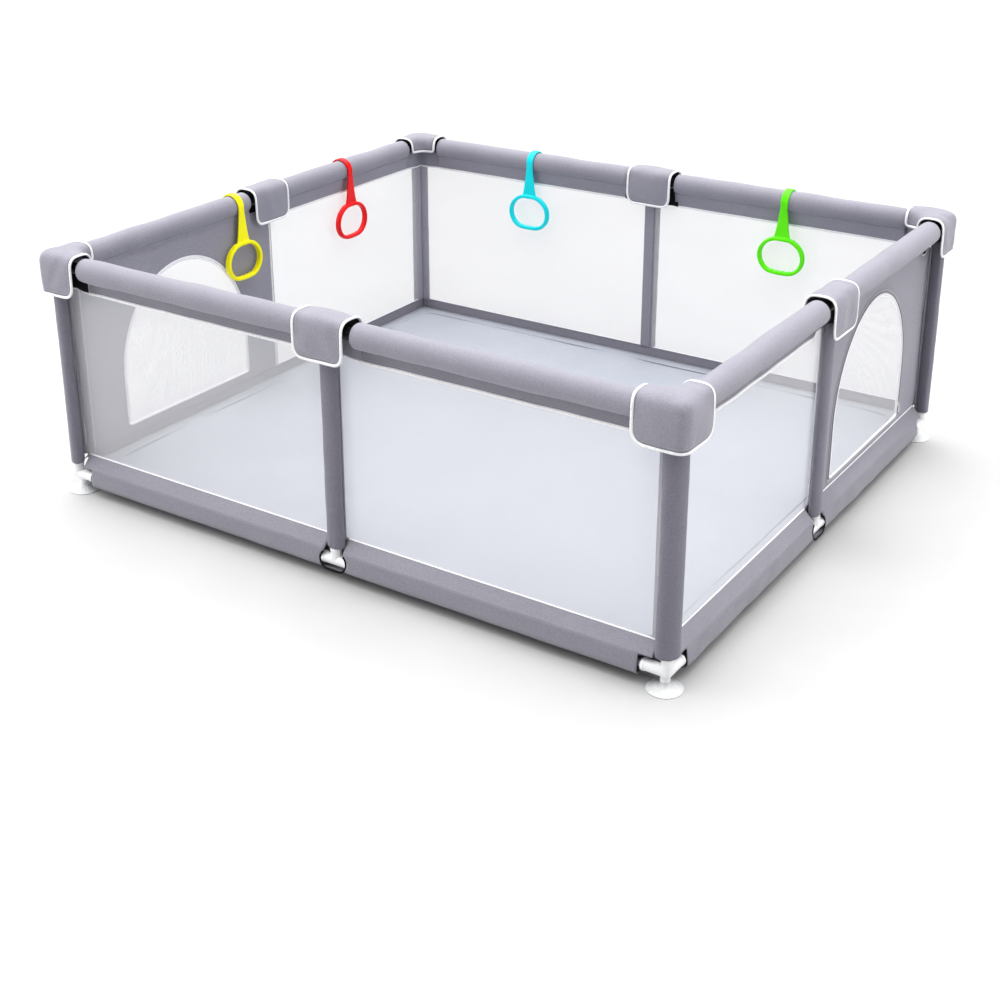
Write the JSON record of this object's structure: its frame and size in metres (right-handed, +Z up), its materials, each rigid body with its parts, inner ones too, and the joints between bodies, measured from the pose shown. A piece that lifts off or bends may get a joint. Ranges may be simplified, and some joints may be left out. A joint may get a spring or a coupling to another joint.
{
  "type": "playpen",
  "caption": "Rectangular padded playpen with see-through mesh walls, two arched zip doors, hanging pull handles and suction feet.",
  "frame": {"origin": "on the ground, under the middle of the pen", "axes": "+X along the front side, +Y from the front to the back, +Z up"},
  "size_m": [1.984, 1.774, 0.724],
  "materials": {
    "steel_tube": "powder-coated steel tube, satin",
    "black_plastic": "moulded, fine matt",
    "white_plastic": "moulded, semi-gloss",
    "clear_rubber": "soft translucent vinyl, glossy",
    "grey_fabric": "tight plain weave, soft sheen",
    "sleeve_fabric": "tight plain weave, soft sheen",
    "wall_mesh": "fine hexagonal knitted mesh, see-through",
    "floor_fabric": "coated oxford weave, smooth",
    "white_piping": "smooth tape",
    "zip_metal": "smooth grey enamel",
    "yellow_plastic": "moulded, glossy",
    "red_plastic": "moulded, glossy",
    "cyan_plastic": "moulded, glossy",
    "green_plastic": "moulded, glossy"
  },
  "bodies": {
    "frame": {"bottom_corner_connectors": "white_plastic", "bottom_hem_back": "grey_fabric", "bottom_hem_front": "grey_fabric", "bottom_hem_left": "grey_fabric", "bottom_hem_right": "grey_fabric", "bottom_mid_connectors": "white_plastic", "bottom_rail_tubes_long": "steel_tube", "bottom_rail_tubes_short": "steel_tube", "corner_cap_back_left": "grey_fabric", "corner_cap_back_right": "grey_fabric", "corner_cap_front_left": "grey_fabric", "corner_cap_front_right": "grey_fabric", "corner_post_sleeve_back_left": "sleeve_fabric", "corner_post_sleeve_back_right": "sleeve_fabric", "corner_post_sleeve_front_left": "sleeve_fabric", "corner_post_sleeve_front_right": "sleeve_fabric", "corner_strips": "grey_fabric", "door_bindings": "white_piping", "door_panel_left_front": "grey_fabric", "door_panel_right_rear": "grey_fabric", "floor_mat": "floor_fabric", "mesh_panel_back_left": "wall_mesh", "mesh_panel_back_right": "wall_mesh", "mesh_panel_front_left": "wall_mesh", "mesh_panel_front_right": "wall_mesh", "mesh_panel_left_rear": "wall_mesh", "mesh_panel_right_front": "wall_mesh", "mid_cover_back": "grey_fabric", "mid_cover_front": "grey_fabric", "mid_cover_left": "grey_fabric", "mid_cover_right": "grey_fabric", "mid_post_sleeve_back": "sleeve_fabric", "mid_post_sleeve_front": "sleeve_fabric", "mid_post_sleeve_left": "sleeve_fabric", "mid_post_sleeve_right": "sleeve_fabric", "post_tubes": "steel_tube", "rail_pad_back_left": "grey_fabric", "rail_pad_back_right": "grey_fabric", "rail_pad_front_left": "grey_fabric", "rail_pad_front_right": "grey_fabric", "rail_pad_left_front": "grey_fabric", "rail_pad_left_rear": "grey_fabric", "rail_pad_right_front": "grey_fabric", "rail_pad_right_rear": "grey_fabric", "suction_cups": "clear_rubber", "top_corner_connectors": "black_plastic", "top_mid_connectors": "black_plastic", "top_rail_tubes_long": "steel_tube", "top_rail_tubes_short": "steel_tube"},
    "pull_handle_cyan": {"pull_handle_cyan": "cyan_plastic"},
    "pull_handle_green": {"pull_handle_green": "green_plastic"},
    "pull_handle_red": {"pull_handle_red": "red_plastic"},
    "pull_handle_yellow": {"pull_handle_yellow": "yellow_plastic"},
    "door_mesh_left": {"door_mesh_left": "wall_mesh"},
    "zip_slider_left": {"zip_slider_left": "zip_metal"},
    "zip_pull_left": {"zip_pull_left": "zip_metal"},
    "door_mesh_right": {"door_mesh_right": "wall_mesh"},
    "zip_slider_right": {"zip_slider_right": "zip_metal"},
    "zip_pull_right": {"zip_pull_right": "zip_metal"}
  },
  "joints": [
    {"name": "yellow_handle_swing", "type": "hinge", "parent": "frame", "child": "pull_handle_yellow", "pos_m": [-0.95, -0.14, 0.684], "axis": [0, -1, 0], "range_deg": [0, 70]},
    {"name": "red_handle_swing", "type": "hinge", "parent": "frame", "child": "pull_handle_red", "pos_m": [-0.95, 0.4, 0.684], "axis": [0, -1, 0], "range_deg": [0, 70]},
    {"name": "cyan_handle_swing", "type": "hinge", "parent": "frame", "child": "pull_handle_cyan", "pos_m": [-0.458, 0.845, 0.684], "axis": [-1, 0, 0], "range_deg": [0, 70]},
    {"name": "green_handle_swing", "type": "hinge", "parent": "frame", "child": "pull_handle_green", "pos_m": [0.472, 0.845, 0.684], "axis": [-1, 0, 0], "range_deg": [0, 70]},
    {"name": "left_door_open", "type": "hinge", "parent": "frame", "child": "door_mesh_left", "pos_m": [-0.931, -0.394, 0.139], "axis": [0, -1, 0], "range_deg": [0, 100]},
    {"name": "left_zip_travel", "type": "slide", "parent": "frame", "child": "zip_slider_left", "axis": [0, 0, 1], "range_m": [0, 0.12]},
    {"name": "left_zip_pull_swing", "type": "hinge", "parent": "zip_slider_left", "child": "zip_pull_left", "pos_m": [-0.9382, -0.664, 0.172], "axis": [0, 1, 0], "range_deg": [0, 120]},
    {"name": "right_door_open", "type": "hinge", "parent": "frame", "child": "door_mesh_right", "pos_m": [0.931, 0.394, 0.139], "axis": [0, 1, 0], "range_deg": [0, 100]},
    {"name": "right_zip_travel", "type": "slide", "parent": "frame", "child": "zip_slider_right", "axis": [0, 0, 1], "range_m": [0, 0.12]},
    {"name": "right_zip_pull_swing", "type": "hinge", "parent": "zip_slider_right", "child": "zip_pull_right", "pos_m": [0.9382, 0.664, 0.172], "axis": [0, -1, 0], "range_deg": [0, 120]}
  ]
}
